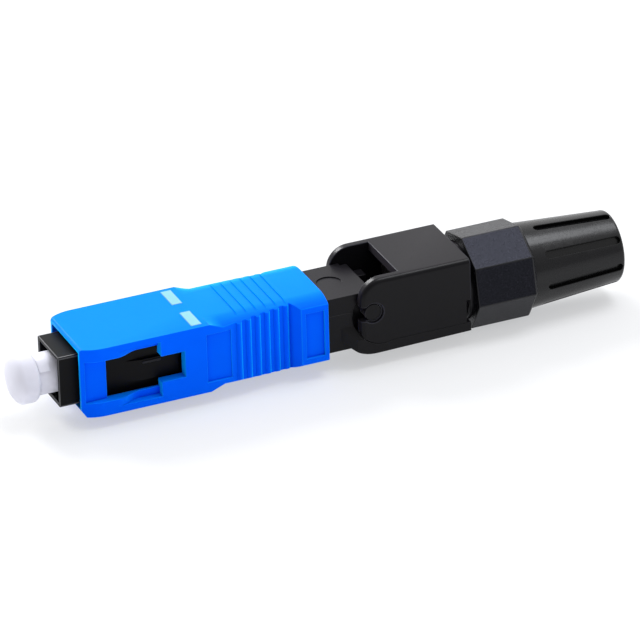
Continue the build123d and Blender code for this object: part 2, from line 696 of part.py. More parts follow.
# Splice: grooved base, two lids and the metal clip that presses them together
with BuildPart() as splice_base:
    axial_rod(SPLICE_RADIUS, splice_start_x, splice_end_x)
    span_box(
        (splice_flat_start_x, splice_end_x),
        (-SPLICE_RADIUS, SPLICE_RADIUS),
        (STUB_RADIUS, SPLICE_RADIUS),
        Mode.SUBTRACT,
    )
    with BuildSketch(Plane.YZ.offset(splice_flat_start_x)):
        with BuildLine():
            groove_half = groove_centre_offset + STUB_RADIUS
            Polyline(
                (0, -groove_centre_offset),
                (groove_half, STUB_RADIUS),
                (-groove_half, STUB_RADIUS),
                close=True,
            )
        make_face()
    extrude(amount=splice_end_x - splice_flat_start_x, mode=Mode.SUBTRACT)
    axial_rod(STUB_RADIUS, splice_start_x - 0.1, splice_flat_start_x + 0.1, Mode.SUBTRACT)
splice_base.part.label = "splice_base"
export_step(splice_base.part, "parts/splice_base.step")

lid_spans = {
    "splice_front_lid": (splice_flat_start_x + SPLICE_LID_GAP, splice_lid_split_x - SPLICE_LID_GAP / 2),
    "splice_rear_lid": (splice_lid_split_x + SPLICE_LID_GAP / 2, splice_end_x - 0.2),
}
for lid_name, lid_span in lid_spans.items():
    with BuildPart() as splice_lid:
        axial_rod(SPLICE_RADIUS, lid_span[0], lid_span[1])
        span_box(
            lid_span,
            (-SPLICE_RADIUS, SPLICE_RADIUS),
            (-SPLICE_RADIUS, STUB_RADIUS),
            Mode.SUBTRACT,
        )
    splice_lid.part.label = lid_name
    export_step(splice_lid.part, f"parts/{lid_name}.step")

with BuildPart() as splice_clip:
    axial_rod(SPLICE_RADIUS + CLIP_WALL, clip_start_x, clip_end_x)
    axial_rod(SPLICE_RADIUS, clip_start_x - 0.1, clip_end_x + 0.1, Mode.SUBTRACT)
    span_box(
        (clip_start_x, clip_end_x),
        (-CLIP_SLOT_WIDTH / 2, CLIP_SLOT_WIDTH / 2),
        (-SPLICE_RADIUS - 2 * CLIP_WALL, 0),
        Mode.SUBTRACT,
    )
splice_clip.part.label = "splice_clip"
export_step(splice_clip.part, "parts/splice_clip.step")

# Cone that leads the fibre into the splice
with BuildPart() as fibre_guide:
    axial_rod(FUNNEL_RADIUS, funnel_start_x, funnel_start_x + FUNNEL_LENGTH)
    with Locations((funnel_start_x, 0, 0)):
        Cone(
            FUNNEL_EXIT_RADIUS,
            FUNNEL_MOUTH_RADIUS,
            FUNNEL_LENGTH,
            rotation=AXIAL,
            align=FROM_START,
            mode=Mode.SUBTRACT,
        )
fibre_guide.part.label = "fibre_guide"
export_step(fibre_guide.part, "parts/fibre_guide.step")

# Black body: splice barrel, neck with the deck, cable tray and threaded spigot
with BuildPart() as main_body:
    span_box((barrel_start_x, FRAME_REAR_X), (-barrel_half, barrel_half), (-barrel_half, barrel_half))
    span_box((FRAME_REAR_X, neck_start_x), (-collar_half, collar_half), (-collar_half, collar_half))
    neck_y = (-neck_half_width, neck_half_width)
    upper_y = (-neck_half_width + FLANK_RELIEF, neck_half_width - FLANK_RELIEF)
    span_box((neck_start_x, neck_end_x), neck_y, (neck_bottom_z, FLANK_LINE_Z))
    span_box((neck_start_x, neck_end_x), upper_y, (FLANK_LINE_Z, neck_top_z))
    with BuildSketch(Plane.XZ.offset(-body_half_width)):
        with BuildLine():
            chin = Spline(
                *[(shoulder_start_x + run, TRAY_BOTTOM_Z + rise) for run, rise in CHIN_CURVE],
                tangents=[(0.6, -1), (1, 0)],
            )
            Polyline(
                chin @ 1,
                (tray_end_x, TRAY_REAR_BOTTOM_Z),
                (tray_end_x, TRAY_TOP_Z),
                (pocket_x + 0.5, TRAY_TOP_Z),
                (pocket_x + 0.5, SHOULDER_TOP_Z),
                (shoulder_start_x, SHOULDER_TOP_Z),
                chin @ 0,
            )
        make_face()
    extrude(amount=2 * body_half_width)
    for side in SIDES:
        with BuildSketch(Plane.XY.offset(TRAY_BOTTOM_Z)):
            with BuildLine():
                Polyline(
                    (shoulder_start_x, side * neck_half_width),
                    (shoulder_full_x, side * body_half_width),
                    (shoulder_full_x, side * (body_half_width + CUT_MARGIN)),
                    (shoulder_start_x, side * (body_half_width + CUT_MARGIN)),
                    close=True,
                )
            make_face()
        extrude(amount=SHOULDER_TOP_Z - TRAY_BOTTOM_Z, mode=Mode.SUBTRACT)
        with BuildSketch(Plane.YZ.offset(shoulder_start_x)):
            with BuildLine():
                Polyline(
                    (side * neck_half_width, SHOULDER_TOP_Z),
                    (side * body_half_width, SHOULDER_SIDE_Z),
                    (side * (body_half_width + CUT_MARGIN), SHOULDER_SIDE_Z),
                    (side * (body_half_width + CUT_MARGIN), SHOULDER_TOP_Z + CUT_MARGIN),
                    (side * neck_half_width, SHOULDER_TOP_Z + CUT_MARGIN),
                    close=True,
                )
            make_face()
        extrude(amount=pocket_x + 0.5 - shoulder_start_x, mode=Mode.SUBTRACT)
    for side in SIDES:
        span_box(
            (neck_end_x - 0.1, cheek_end_x),
            side_span(side, CABLE_HALF_WIDTH, rail_half_width),
            (TRAY_TOP_Z, CHEEK_TOP_Z),
        )
    span_box(
        (neck_end_x - 0.1, rail_end_x),
        (-rail_half_width, rail_half_width),
        (TRAY_TOP_Z - 0.1, RAIL_TOP_Z),
    )
    for side in SIDES:
        with BuildSketch(Plane.XZ.offset(-side * pocket_floor_y)):
            with Locations((pocket_x, POCKET_Z)):
                Circle(POCKET_RADIUS)
        extrude(amount=-side * 2.0, mode=Mode.SUBTRACT)
        with BuildSketch(Plane.XZ.offset(-side * (pocket_floor_y - PIN_ROOT))):
            with Locations((pivot_x, PIVOT_Z)):
                Circle(PIN_RADIUS)
        extrude(amount=-side * (pin_end_y - pocket_floor_y + PIN_ROOT))
    span_box(
        (rail_end_x - 0.1, tray_end_x),
        (-SPIGOT_NECK_RADIUS, SPIGOT_NECK_RADIUS),
        (TRAY_TOP_Z - 0.1, 0),
    )
    axial_rod(SPIGOT_NECK_RADIUS, rail_end_x - 0.1, spigot_end_x)
    axial_rod(SPIGOT_RADIUS, spigot_start_x, spigot_end_x)
    span_box(
        (neck_end_x, rail_end_x),
        (-CABLE_HALF_WIDTH, CABLE_HALF_WIDTH),
        (CABLE_FLOOR_Z, neck_top_z + 1.0),
        Mode.SUBTRACT,
    )
    with BuildSketch(Plane.XY.offset(neck_top_z - DECK_DISC_DEPTH)):
        with Locations((deck_disc_x, 0)):
            Circle(DECK_DISC_RADIUS)
    extrude(amount=1.0, mode=Mode.SUBTRACT)
    axial_rod(barrel_bore_radius, barrel_start_x - 0.1, funnel_start_x, Mode.SUBTRACT)
    axial_rod(FUNNEL_RADIUS, funnel_start_x - 0.1, funnel_start_x + FUNNEL_LENGTH, Mode.SUBTRACT)
    axial_rod(FIBRE_PASSAGE_RADIUS, funnel_start_x, neck_end_x + 0.1, Mode.SUBTRACT)
    axial_rod(SPIGOT_BORE_RADIUS, spigot_start_x - SPIGOT_BORE_LEAD, spigot_end_x + 0.1, Mode.SUBTRACT)
    span_box(
        (rail_end_x - 0.2, spigot_start_x),
        (-CABLE_HALF_WIDTH, CABLE_HALF_WIDTH),
        (CABLE_FLOOR_Z, -CABLE_FLOOR_Z),
        Mode.SUBTRACT,
    )
main_body.part.label = "main_body"
export_step(main_body.part, "parts/main_body.step")

# Toothed strips that hold the cable jacket from below and above
jaw_length = JAW_PITCH * JAW_TEETH
with BuildPart() as lower_jaw:
    with BuildSketch(Plane.XZ.offset(-JAW_HALF_WIDTH)):
        with BuildLine():
            plate_top = CABLE_FLOOR_Z + JAW_PLATE
            tooth_points = [(jaw_start_x, CABLE_FLOOR_Z), (jaw_start_x, plate_top)]
            for index in range(JAW_TEETH):
                tooth_x = jaw_start_x + index * JAW_PITCH
                tooth_points.append((tooth_x + JAW_PITCH / 2, plate_top + JAW_TOOTH))
                tooth_points.append((tooth_x + JAW_PITCH, plate_top))
            tooth_points.append((jaw_start_x + jaw_length, CABLE_FLOOR_Z))
            Polyline(*tooth_points, close=True)
        make_face()
    extrude(amount=2 * JAW_HALF_WIDTH)
lower_jaw.part.label = "lower_jaw"
export_step(lower_jaw.part, "parts/lower_jaw.step")

with BuildPart() as upper_jaw:
    with BuildSketch(Plane.XZ.offset(-JAW_HALF_WIDTH)):
        with BuildLine():
            root_z = UPPER_JAW_TIP_Z + JAW_TOOTH
            tooth_points = [(upper_jaw_start_x, COVER_CEILING_Z), (upper_jaw_start_x, root_z)]
            for index in range(JAW_TEETH):
                tooth_x = upper_jaw_start_x + index * JAW_PITCH
                tooth_points.append((tooth_x + JAW_PITCH / 2, UPPER_JAW_TIP_Z))
                tooth_points.append((tooth_x + JAW_PITCH, root_z))
            tooth_points.append((upper_jaw_start_x + jaw_length, COVER_CEILING_Z))
            Polyline(*tooth_points, close=True)
        make_face()
    extrude(amount=2 * JAW_HALF_WIDTH)
upper_jaw.part.label = "upper_jaw"
export_step(upper_jaw.part, "parts/upper_jaw.step")

# Flip cover that snaps over the two pins and closes on the tray
chin_radius = POCKET_RADIUS - CHIN_GAP
chin_end_x = pocket_x + math.sqrt(chin_radius**2 - (POCKET_Z - COVER_BOTTOM_Z) ** 2)
chin_front_z = POCKET_Z - math.sqrt(chin_radius**2 - (pocket_x - cover_front_x) ** 2)
with BuildPart() as flip_cover:
    with BuildSketch(Plane.XZ.offset(-cover_half_width)):
        with BuildLine():
            Polyline(
                (cover_front_x + COVER_CORNER_RADIUS, COVER_TOP_Z),
                (cover_end_x, COVER_TOP_Z),
                (cover_end_x, 0),
                (cover_lower_end_x, 0),
                (cover_lower_end_x, COVER_BOTTOM_Z),
                (chin_end_x, COVER_BOTTOM_Z),
            )
            ThreePointArc(
                (chin_end_x, COVER_BOTTOM_Z),
                (pocket_x - chin_radius * math.sin(0.5), POCKET_Z - chin_radius * math.cos(0.5)),
                (cover_front_x, chin_front_z),
            )
            Line(
                (cover_front_x, chin_front_z),
                (cover_front_x, COVER_TOP_Z - COVER_CORNER_RADIUS),
            )
            RadiusArc(
                (cover_front_x, COVER_TOP_Z - COVER_CORNER_RADIUS),
                (cover_front_x + COVER_CORNER_RADIUS, COVER_TOP_Z),
                COVER_CORNER_RADIUS,
            )
        make_face()
    extrude(amount=2 * cover_half_width)
    rim_edges = flip_cover.edges().filter_by_position(
        Axis.Z, COVER_TOP_Z - COVER_CORNER_RADIUS / 2, COVER_TOP_Z
    ).filter_by(Axis.Y, reverse=True).filter_by(Axis.Z, reverse=True)
    fillet(rim_edges, radius=COVER_RIM_RADIUS)
    span_box(
        (cover_front_x - 1.0, cover_end_x + 1.0),
        (-cover_wall_y, cover_wall_y),
        (COVER_BOTTOM_Z - 1.0, COVER_CEILING_Z),
        Mode.SUBTRACT,
    )
    span_box(
        (cover_front_x - 1.0, cover_roof_start_x),
        (-cover_wall_y, cover_wall_y),
        (COVER_CEILING_Z - 0.1, COVER_TOP_Z + 1.0),
        Mode.SUBTRACT,
    )
    for side in SIDES:
        with BuildSketch(Plane.XZ.offset(-side * (cover_wall_y - 0.5))):
            with Locations((pivot_x, PIVOT_Z)):
                Circle(PIN_RADIUS + PIN_CLEARANCE)
            slot_length = pivot_x - cover_front_x + 1.0
            with Locations((pivot_x - slot_length / 2, PIVOT_Z)):
                Rectangle(slot_length, PIVOT_SLOT_WIDTH)
        extrude(amount=-side * 2.0, mode=Mode.SUBTRACT)
        with BuildSketch(Plane.XZ.offset(-side * (cover_half_width - PIVOT_RECESS_DEPTH))):
            with Locations((pivot_x, PIVOT_Z)):
                Circle(PIVOT_RECESS_RADIUS)
        extrude(amount=-side * 1.0, mode=Mode.SUBTRACT)
flip_cover.part.label = "flip_cover"
export_step(flip_cover.part, "parts/flip_cover.step")

# Slit collet that the nut presses on to the cable
with BuildPart() as cable_collet:
    axial_rod(COLLET_RADIUS, collet_start_x, collet_end_x)
    span_box(
        (collet_start_x - 0.1, collet_end_x + 0.1),
        (-COLLET_BORE_WIDTH / 2, COLLET_BORE_WIDTH / 2),
        (-COLLET_BORE_HEIGHT / 2, COLLET_BORE_HEIGHT / 2),
        Mode.SUBTRACT,
    )
    span_box(
        (collet_start_x - 0.1, collet_slit_end_x),
        (-COLLET_SLIT_WIDTH / 2, COLLET_SLIT_WIDTH / 2),
        (-COLLET_RADIUS, COLLET_RADIUS),
        Mode.SUBTRACT,
    )
cable_collet.part.label = "cable_collet"
export_step(cable_collet.part, "parts/cable_collet.step")

# Octagonal nut moulded in one with the cable boot
with BuildPart() as tail_nut:
    with BuildSketch(Plane.YZ.offset(nut_start_x)):
        RegularPolygon(NUT_CORNER_RADIUS, NUT_SIDES, rotation=NUT_CORNER_ANGLE)
    extrude(amount=nut_end_x - nut_start_x)
    chamfer(tail_nut.faces().sort_by(Axis.X)[-1].edges(), length=NUT_CHAMFER)
    with BuildSketch(Plane.XZ):
        with BuildLine():
            Polyline(
                (nut_start_x + 0.5, 0),
                (nut_start_x + 0.5, 3.0),
                (nut_end_x - 0.5, BOOT_START_RADIUS),
                (nut_end_x, BOOT_START_RADIUS),
                (boot_middle_x, BOOT_MIDDLE_RADIUS),
                (boot_end_x - BOOT_EDGE_RADIUS, BOOT_END_RADIUS + 0.02),
            )
            RadiusArc(
                (boot_end_x - BOOT_EDGE_RADIUS, BOOT_END_RADIUS + 0.02),
                (boot_end_x, BOOT_END_RADIUS - BOOT_EDGE_RADIUS),
                BOOT_EDGE_RADIUS + 0.01,
            )
            Polyline(
                (boot_end_x, BOOT_END_RADIUS - BOOT_EDGE_RADIUS),
                (boot_end_x, 0),
                (nut_start_x + 0.5, 0),
            )
        make_face()
    revolve(axis=Axis.X)
    axial_rod(NUT_THREAD_RADIUS, nut_start_x - 0.1, nut_thread_end_x, Mode.SUBTRACT)
    axial_rod(SEAT_RADIUS, nut_thread_end_x - 0.1, collet_end_x, Mode.SUBTRACT)
    axial_rod(BOOT_BORE_RADIUS, collet_end_x - 0.1, boot_bore_end_x, Mode.SUBTRACT)
    span_box(
        (boot_bore_end_x - 0.1, boot_end_x + 0.1),
        (-BOOT_MOUTH_WIDTH / 2, BOOT_MOUTH_WIDTH / 2),
        (-BOOT_MOUTH_HEIGHT / 2, BOOT_MOUTH_HEIGHT / 2),
        Mode.SUBTRACT,
    )
    boot_slope = math.degrees(
        math.atan((BOOT_START_RADIUS - BOOT_MIDDLE_RADIUS) / (boot_middle_x - nut_end_x))
    )
    groove_middle_x = (boot_groove_start_x + boot_groove_end_x) / 2
    groove_share = (groove_middle_x - nut_end_x) / (boot_middle_x - nut_end_x)
    groove_surface_r = BOOT_START_RADIUS - groove_share * (BOOT_START_RADIUS - BOOT_MIDDLE_RADIUS)
    for index in range(NUT_SIDES):
        groove_angle = NUT_CORNER_ANGLE + index * 360.0 / NUT_SIDES
        outward = Vector(0, 0, 1).rotate(Axis.Y, boot_slope).rotate(Axis.X, groove_angle - 90.0)
        along = Vector(1, 0, 0).rotate(Axis.Y, boot_slope).rotate(Axis.X, groove_angle - 90.0)
        seat = Vector(groove_middle_x, 0, groove_surface_r - BOOT_GROOVE_DEPTH)
        seat = seat.rotate(Axis.X, groove_angle - 90.0)
        with BuildSketch(Plane(origin=seat, x_dir=along, z_dir=outward)):
            SlotOverall(boot_groove_end_x - boot_groove_start_x, BOOT_GROOVE_WIDTH)
        extrude(amount=1.0, mode=Mode.SUBTRACT)
tail_nut.part.label = "tail_nut"
export_step(tail_nut.part, "parts/tail_nut.step")
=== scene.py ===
"""Dressed scene of a field-fit fibre connector lying on a pale table.

Every length is in metres unless its name ends in _mm, and every piece stands in the
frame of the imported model: X runs from the dust cap to the cable boot, and Z is up.
"""

from __future__ import annotations

import logging
import math
from dataclasses import dataclass
from enum import Enum

import bmesh
import bpy
from mathutils import Matrix, Vector

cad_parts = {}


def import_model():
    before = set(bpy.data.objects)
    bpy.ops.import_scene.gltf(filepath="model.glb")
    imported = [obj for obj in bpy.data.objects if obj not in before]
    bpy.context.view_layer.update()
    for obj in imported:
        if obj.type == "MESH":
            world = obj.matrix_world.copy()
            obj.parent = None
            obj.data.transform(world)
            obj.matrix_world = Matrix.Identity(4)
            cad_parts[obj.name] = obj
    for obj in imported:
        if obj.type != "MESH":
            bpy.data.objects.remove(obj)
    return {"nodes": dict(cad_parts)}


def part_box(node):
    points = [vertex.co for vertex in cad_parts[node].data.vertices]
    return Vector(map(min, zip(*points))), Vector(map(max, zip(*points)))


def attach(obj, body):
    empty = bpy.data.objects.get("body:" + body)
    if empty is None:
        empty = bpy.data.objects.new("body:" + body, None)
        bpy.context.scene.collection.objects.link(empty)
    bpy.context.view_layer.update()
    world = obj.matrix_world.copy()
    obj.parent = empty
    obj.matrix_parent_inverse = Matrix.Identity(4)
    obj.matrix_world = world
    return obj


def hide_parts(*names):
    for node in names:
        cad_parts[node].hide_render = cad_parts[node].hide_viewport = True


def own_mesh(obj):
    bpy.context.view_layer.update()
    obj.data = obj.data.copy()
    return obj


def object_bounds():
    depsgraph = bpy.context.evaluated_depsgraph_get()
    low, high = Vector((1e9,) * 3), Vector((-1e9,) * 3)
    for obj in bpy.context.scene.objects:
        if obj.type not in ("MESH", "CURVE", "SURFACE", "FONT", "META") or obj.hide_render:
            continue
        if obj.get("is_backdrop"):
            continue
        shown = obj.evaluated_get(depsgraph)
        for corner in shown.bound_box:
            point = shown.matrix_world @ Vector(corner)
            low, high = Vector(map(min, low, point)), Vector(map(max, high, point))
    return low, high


LOG = logging.getLogger("connector")
MM = 0.001

# Patterns that every finish shares
CLOUD_MM = 2.5
CLOUD_DETAIL = 3.0
PLAIN_DETAIL = 2.0
PLAIN_GRAIN_ROUGHNESS = 0.5
SPARK_DETAIL = 6.0
SPARK_GRAIN_ROUGHNESS = 0.7
FLECK_RANGE = (0.46, 0.66)
BRUSH_STRETCH = (0.12, 1.0, 1.0)
NO_STRETCH = (1.0, 1.0, 1.0)
ROUGHNESS_SPREAD = 0.06
LEAST_ROUGHNESS = 0.03
SHEEN_ROUGHNESS = 0.5
COAT_ROUGHNESS = 0.12
MILKY_RADIUS = (1.0, 0.9, 0.9)
MILKY_DEPTH_MM = 0.9
# Painted shade: ambient occlusion darkens inner corners between these limits, with this many samples
PAINTED_SHADE_RANGE = (0.35, 0.95)
PAINTED_SHADE_SAMPLES = 8

Colour = tuple[float, float, float, float]
Triple = tuple[float, float, float]


def linear(hex_colour: str) -> Colour:
    """Turn a screen colour into the linear values that shaders use.

    Args:
        hex_colour: Six hexadecimal digits of an sRGB colour.

    Returns:
        Red, green, blue and alpha.
    """
    channels = []
    for start in (0, 2, 4):
        value = int(hex_colour[start : start + 2], 16) / 255.0
        channels.append(value / 12.92 if value <= 0.04045 else ((value + 0.055) / 1.055) ** 2.4)
    return (channels[0], channels[1], channels[2], 1.0)


def add_node(
    tree: bpy.types.NodeTree,
    kind: str,
    settings: dict[str, object] | None = None,
    values: dict[str | int, object] | None = None,
    links: dict[str | int, bpy.types.NodeSocket] | None = None,
) -> bpy.types.Node:
    """Add a node with its settings, its fixed inputs and its links.

    Args:
        tree: Node tree that it goes into.
        kind: Type name of the node.
        settings: Attributes of the node by name.
        values: Fixed values by input.
        links: Sockets that feed it, by input.

    Returns:
        The new node.
    """
    node = tree.nodes.new(kind)
    for name, value in (settings or {}).items():
        setattr(node, name, value)
    for socket, value in (values or {}).items():
        node.inputs[socket].default_value = value
    for socket, source in (links or {}).items():
        tree.links.new(source, node.inputs[socket])
    return node


class Grain(Enum):
    """Kinds of moulded or machined surface."""

    SMOOTH = "smooth"
    SPARK = "spark"
    BRUSHED = "brushed"


@dataclass(frozen=True)
class Finish:
    """One finish of the connector, made as a procedural material.

    Attributes:
        name: Material name.
        colour: Main colour in hexadecimal.
        shade: Colour of the darker clouds, or of the flecks of a spark surface.
        roughness: Mean roughness.
        grain: Kind of surface.
        grain_mm: Size of the surface's grain.
        depth_mm: Height of the surface's grain.
        metallic: One for bare metal, zero otherwise.
        milky: Share of light that passes into the surface.
        coat: Weight of a thin clear gloss.
        gloss: Strength of the mirror light, 0.5 being that of plain plastic.
        gloss_tint: Colour of the mirror light in hexadecimal.
        sheen: Weight of the soft light at grazing angles.
        sheen_tint: Colour of that light in hexadecimal.
        painted_shade: Colour in hexadecimal of the painted shade in the inner corners, if they get one.
        painted_shade_mm: How far from a corner that painted shade reaches.
    """

    name: str
    colour: str
    shade: str
    roughness: float
    grain: Grain = Grain.SMOOTH
    grain_mm: float = 0.12
    depth_mm: float = 0.002
    metallic: float = 0.0
    milky: float = 0.0
    coat: float = 0.0
    gloss: float = 0.5
    gloss_tint: str = "FFFFFF"
    sheen: float = 0.0
    sheen_tint: str = "FFFFFF"
    painted_shade: str | None = None
    painted_shade_mm: float = 0.5

    def set_sockets(self, shader: bpy.types.Node) -> None:
        """Set what is the same all over the surface.

        Args:
            shader: The material's shader node.
        """
        shader.inputs["Metallic"].default_value = self.metallic
        shader.inputs["Specular IOR Level"].default_value = self.gloss
        shader.inputs["Specular Tint"].default_value = linear(self.gloss_tint)
        if self.milky:
            shader.inputs["Subsurface Weight"].default_value = self.milky
            shader.inputs["Subsurface Radius"].default_value = MILKY_RADIUS
            shader.inputs["Subsurface Scale"].default_value = MILKY_DEPTH_MM * MM
        if self.sheen:
            shader.inputs["Sheen Weight"].default_value = self.sheen
            shader.inputs["Sheen Roughness"].default_value = SHEEN_ROUGHNESS
            shader.inputs["Sheen Tint"].default_value = linear(self.sheen_tint)
        if self.coat:
            shader.inputs["Coat Weight"].default_value = self.coat
            shader.inputs["Coat Roughness"].default_value = COAT_ROUGHNESS

    def pattern(
        self, tree: bpy.types.NodeTree, place: bpy.types.NodeSocket, grains: bpy.types.NodeSocket
    ) -> bpy.types.NodeSocket:
        """Choose where the main colour gives way to the shade.

        Args:
            tree: The material's node tree.
            place: Where on the piece a point lies.
            grains: The surface's grain.

        Returns:
            Share of the shade.
        """
        if self.grain is Grain.SPARK:
            fleck = add_node(
                tree,
                "ShaderNodeMapRange",
                values={"From Min": FLECK_RANGE[0], "From Max": FLECK_RANGE[1]},
                links={"Value": grains},
            )
            return fleck.outputs["Result"]
        clouds = add_node(
            tree,
            "ShaderNodeTexNoise",
            values={"Scale": 1.0 / (CLOUD_MM * MM), "Detail": CLOUD_DETAIL},
            links={"Vector": place},
        )
        return clouds.outputs["Fac"]

    def paint_corner_shade(self, tree: bpy.types.NodeTree, colour: bpy.types.NodeSocket) -> bpy.types.NodeSocket:
        """Paint shade into the inner corners, where ambient occlusion finds the surface enclosed.

        Args:
            tree: The material's node tree.
            colour: Colour of the open surface.

        Returns:
            Colour of the whole surface.
        """
        occlusion = add_node(
            tree,
            "ShaderNodeAmbientOcclusion",
            {"samples": PAINTED_SHADE_SAMPLES},
            {"Distance": self.painted_shade_mm * MM},
        )
        unshaded_share = add_node(
            tree,
            "ShaderNodeMapRange",
            values={"From Min": PAINTED_SHADE_RANGE[0], "From Max": PAINTED_SHADE_RANGE[1]},
            links={"Value": occlusion.outputs["AO"]},
        )
        mixed = add_node(
            tree,
            "ShaderNodeMix",
            {"data_type": "RGBA"},
            {"A": linear(self.painted_shade)},
            {"B": colour, "Factor": unshaded_share.outputs["Result"]},
        )
        return mixed.outputs["Result"]

    def material(self) -> bpy.types.Material:
        """Make the material, or find it if it is made already.

        Returns:
            The material.
        """
        label = self.name + "_finish"
        known = bpy.data.materials.get(label)
        if known is not None:
            return known
        made = bpy.data.materials.new(label)
        made.use_nodes = True
        tree = made.node_tree
        shader = tree.nodes["Principled BSDF"]
        self.set_sockets(shader)
        spark = self.grain is Grain.SPARK
        place = add_node(
            tree,
            "ShaderNodeMapping",
            values={"Scale": BRUSH_STRETCH if self.grain is Grain.BRUSHED else NO_STRETCH},
            links={"Vector": add_node(tree, "ShaderNodeTexCoord").outputs["Object"]},
        ).outputs["Vector"]
        grains = add_node(
            tree,
            "ShaderNodeTexNoise",
            values={
                "Scale": 1.0 / (self.grain_mm * MM),
                "Detail": SPARK_DETAIL if spark else PLAIN_DETAIL,
                "Roughness": SPARK_GRAIN_ROUGHNESS if spark else PLAIN_GRAIN_ROUGHNESS,
            },
            links={"Vector": place},
        ).outputs["Fac"]
        tint = add_node(
            tree,
            "ShaderNodeMix",
            {"data_type": "RGBA"},
            {"A": linear(self.colour), "B": linear(self.shade)},
            {"Factor": self.pattern(tree, place, grains)},
        )
        colour = tint.outputs["Result"]
        # Painted shade: inner corners darken toward the painted_shade colour
        if self.painted_shade is not None:
            colour = self.paint_corner_shade(tree, colour)
        polish = add_node(
            tree,
            "ShaderNodeMapRange",
            values={
                "To Min": max(self.roughness - ROUGHNESS_SPREAD, LEAST_ROUGHNESS),
                "To Max": min(self.roughness + ROUGHNESS_SPREAD, 1.0),
            },
            links={"Value": grains},
        )
        relief = add_node(
            tree,
            "ShaderNodeBump",
            values={"Distance": self.depth_mm * MM},
            links={"Height": grains},
        )
        tree.links.new(colour, shader.inputs["Base Color"])
        tree.links.new(polish.outputs["Result"], shader.inputs["Roughness"])
        tree.links.new(relief.outputs["Normal"], shader.inputs["Normal"])
        return made


# Soft moulded polyethylene: light goes a little way in, and the gloss is faint and waxy
CAP_WHITE = Finish(
    "cap_white", "D6D6E1", "CFCFDA", 0.5, milky=0.25, depth_mm=0.003, grain_mm=0.4, gloss=0.12
)
# Moulded blue PBT from a satin tool: saturated, and paler and greener where it is seen edge on
HOUSING_BLUE = Finish(
    "housing_blue",
    "0050FF",
    "0048F8",
    0.42,
    grain_mm=0.08,
    depth_mm=0.0015,
    gloss=0.04,
    gloss_tint="20B0FF",
    sheen=1.0,
    sheen_tint="00FFFF",
    # Deep blue painted shade in the inner corners
    painted_shade="0020E0",
)
# Edges of the same plastic, painted lighter and greener as a painted highlight along them
BLUE_EDGE_HIGHLIGHT = Finish(
    "blue_edge_highlight",
    "0874FF",
    "046CFA",
    0.4,
    gloss=0.08,
    gloss_tint="40B0FF",
    sheen=0.5,
    sheen_tint="00D0FF",
)
# Black edges painted lighter, a painted highlight for the thin line of light they catch
BLACK_EDGE_HIGHLIGHT = Finish("black_edge_highlight", "1A1A1D", "141417", 0.32, gloss=0.22)
# Rim of the cover, painted lighter and a little bluer than its walls as a painted highlight
COVER_EDGE_HIGHLIGHT = Finish("cover_edge_highlight", "2E2E36", "28282F", 0.32, gloss=0.14)
# Edges of the plug frame, painted grey along every edge: partly wear where adapters rub them, partly a
# painted highlight
WORN_EDGE_AND_HIGHLIGHT = Finish("worn_edge_and_highlight", "3C3C40", "2A2A2D", 0.35, gloss=0.6)
# Pale ink or inlay of the position marks: matt
MARK_WHITE = Finish("mark_white", "7FB4BE", "79AEB8", 0.5, gloss=0.1)
# Moulded black polycarbonate from a fine tool: dark walls, and greyer faces under the sky
BODY_BLACK = Finish(
    "body_black",
    "09090B",
    "070708",
    0.3,
    grain_mm=0.1,
    depth_mm=0.002,
    gloss=0.13,
    sheen=0.08,
    sheen_tint="F2E8FF",
    # Near-black painted shade in the inner corners
    painted_shade="020203",
)
# The same, a little more matt, on the plug frame
FRAME_BLACK = Finish("frame_black", "0B0B0C", "08080A", 0.4, grain_mm=0.1, depth_mm=0.002, gloss=0.1)
# Black nylon from a spark-eroded tool: fine pits that glitter
NUT_BLACK = Finish(
    "nut_black", "040405", "131318", 0.24, Grain.SPARK, 0.2, 0.04, gloss=0.2, gloss_tint="DEE2FF"
)
# The same moulding where its tool is polished: glossy, with grooves made very dark by painted shade
BOOT_BLACK = Finish(
    "boot_black",
    "0E0E11",
    "09090B",
    0.26,
    grain_mm=0.3,
    depth_mm=0.004,
    gloss=0.3,
    painted_shade="010101",
    painted_shade_mm=1.2,
)
# Ground and polished zirconia: warm white with a hard gloss
ZIRCONIA = Finish("zirconia", "F2F0E8", "EDEBE2", 0.12, grain_mm=0.05, depth_mm=0.0003, coat=0.3)
# Nickel-plated steel, turned: fine lines along the axis
NICKEL_STEEL = Finish("nickel_steel", "B9B7B1", "A9A7A1", 0.28, Grain.BRUSHED, 0.08, 0.001, metallic=1.0)
# Drawn spring steel: darker than the nickel
SPRING_STEEL = Finish("spring_steel", "8D8D8F", "7E7E80", 0.25, Grain.BRUSHED, 0.06, 0.001, metallic=1.0)
# Cleaved silica fibre: clear and very smooth
FIBRE_GLASS = Finish("fibre_glass", "DCEBF0", "D2E3E9", 0.05, grain_mm=0.02, depth_mm=0.0001)
# Moulded natural PEI of the splice: straw coloured
SPLICE_RESIN = Finish("splice_resin", "D9D2BC", "CCC4AC", 0.3, grain_mm=0.1, depth_mm=0.001)
# Moulded natural nylon of the guide: pale grey
GUIDE_PLASTIC = Finish("guide_plastic", "C3C5C8", "B6B8BB", 0.4)
# Moulded acetal of the collet: dark grey and matt
COLLET_PLASTIC = Finish("collet_plastic", "2A2A2C", "232325", 0.42)


def add_piece(name: str, shape: bmesh.types.BMesh, finishes: tuple[Finish, ...]) -> bpy.types.Object:
    """Turn a finished shape into an object, and free the shape.

    Args:
        name: Name of the piece.
        shape: Its shape.
        finishes: Its finishes, in the order of their material numbers.

    Returns:
        The new piece.
    """
    mesh = bpy.data.meshes.new(name)
    shape.to_mesh(mesh)
    shape.free()
    for finish in finishes:
        mesh.materials.append(finish.material())
    piece = bpy.data.objects.new(name, mesh)
    bpy.context.scene.collection.objects.link(piece)
    return piece


